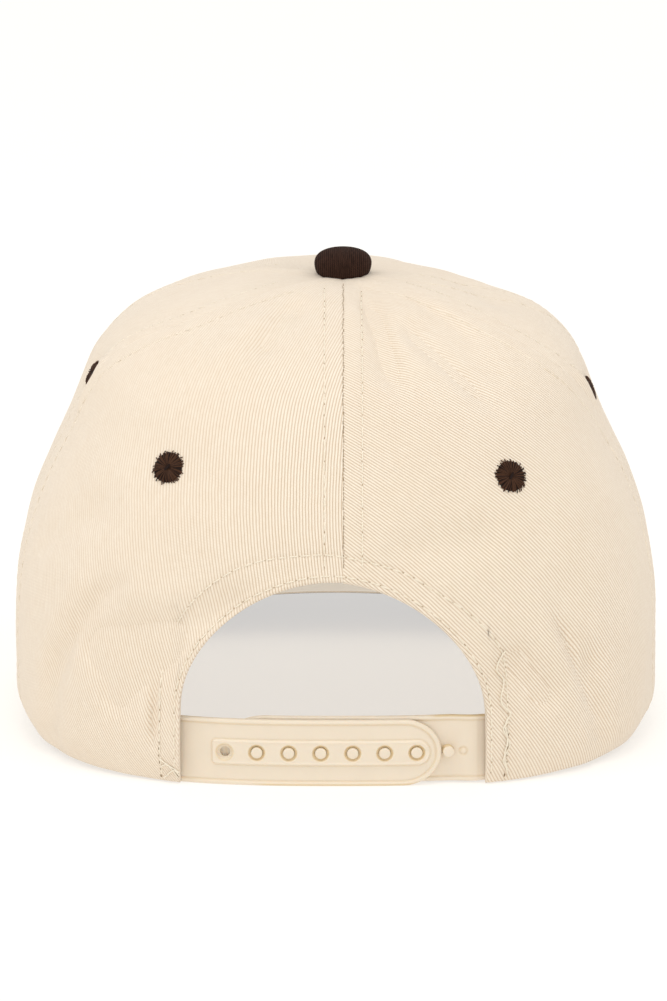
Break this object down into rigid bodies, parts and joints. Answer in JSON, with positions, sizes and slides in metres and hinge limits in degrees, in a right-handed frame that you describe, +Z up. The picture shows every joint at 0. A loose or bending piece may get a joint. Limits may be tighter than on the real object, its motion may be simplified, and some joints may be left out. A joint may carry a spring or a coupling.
{
  "type": "trucker hat",
  "caption": "Structured cotton cap with a curved brim, fabric-covered top button, embroidered eyelets and a plastic snap strap under a half-moon back opening.",
  "frame": {"origin": "middle of the footprint, on the surface that the cap stands on", "axes": "+Z up, +Y from the back strap towards the brim, +X to the right as the cap is seen from behind"},
  "size_m": [0.1972, 0.2388, 0.1461],
  "materials": {
    "cream_twill": "matte brushed cotton twill, cream",
    "brown_twill": "matte ribbed cotton twill, dark brown",
    "brown_thread": "dark brown embroidery thread with a soft sheen",
    "cream_plastic": "moulded satin plastic, warm cream"
  },
  "bodies": {
    "root": {"front_panel": "cream_twill", "side_panel_left": "cream_twill", "side_panel_right": "cream_twill", "back_panel_left": "cream_twill", "back_panel_right": "cream_twill", "brim": "brown_twill", "button": "brown_twill", "eyelet_back_left": "brown_thread", "eyelet_back_right": "brown_thread", "eyelet_side_left": "brown_thread", "eyelet_side_right": "brown_thread", "strap_with_holes": "cream_plastic", "strap_with_pegs": "cream_plastic"}
  },
  "joints": []
}
